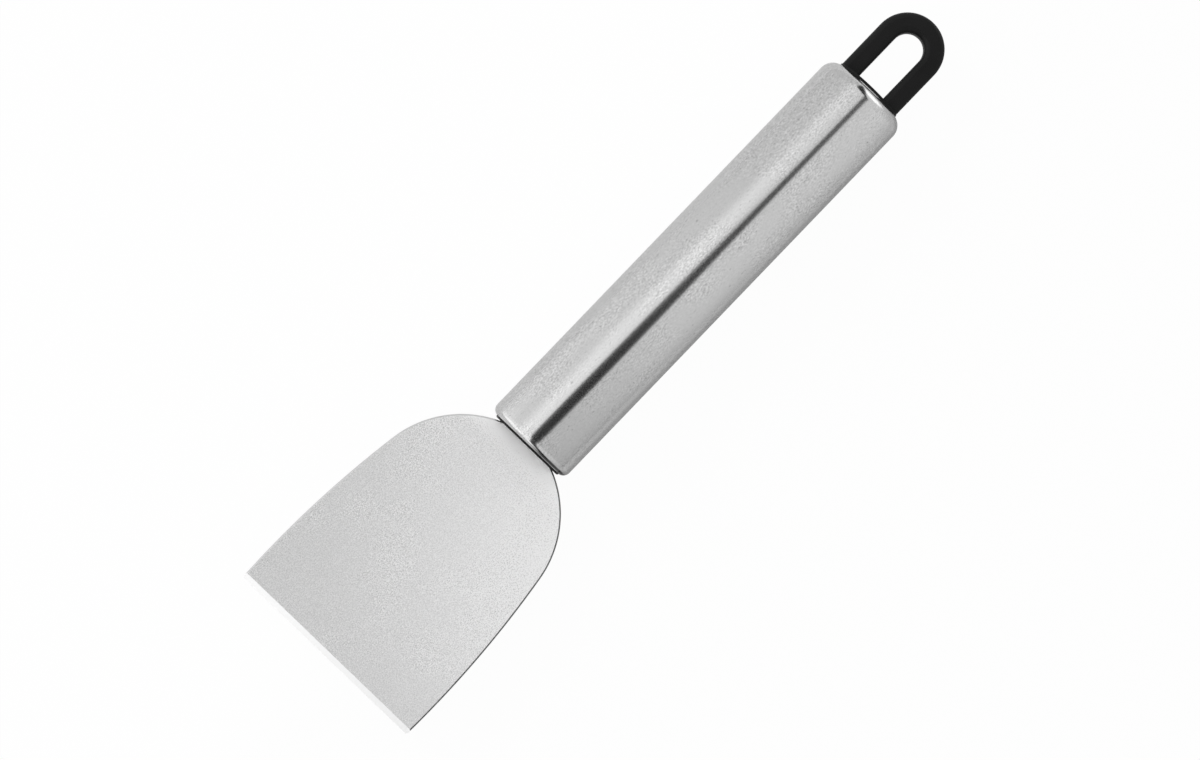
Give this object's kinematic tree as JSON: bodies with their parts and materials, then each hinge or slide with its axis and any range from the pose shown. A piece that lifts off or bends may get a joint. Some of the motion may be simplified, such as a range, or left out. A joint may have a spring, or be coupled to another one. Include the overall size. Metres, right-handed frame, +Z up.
{
  "type": "pan scraper",
  "caption": "Wide stainless scraping blade with rounded shoulders and a ground edge, on a straight oval tube handle with a moulded hanging loop at its end.",
  "frame": {"origin": "on the ground below the middle of the tool's length, under the handle's axis line", "axes": "+X along the handle toward the hanging loop, so the cutting edge is at -X; +Y across the blade; +Z up, out of the blade's ground face"},
  "size_m": [0.22, 0.0572, 0.018],
  "materials": {
    "blade_steel": "matte, fine even grain",
    "handle_steel": "satin, fine brushing along the handle",
    "black_plastic": "satin moulded"
  },
  "bodies": {
    "root": {"blade": "blade_steel", "front_plug": "black_plastic", "handle_tube": "handle_steel", "hang_loop": "black_plastic"}
  },
  "joints": []
}
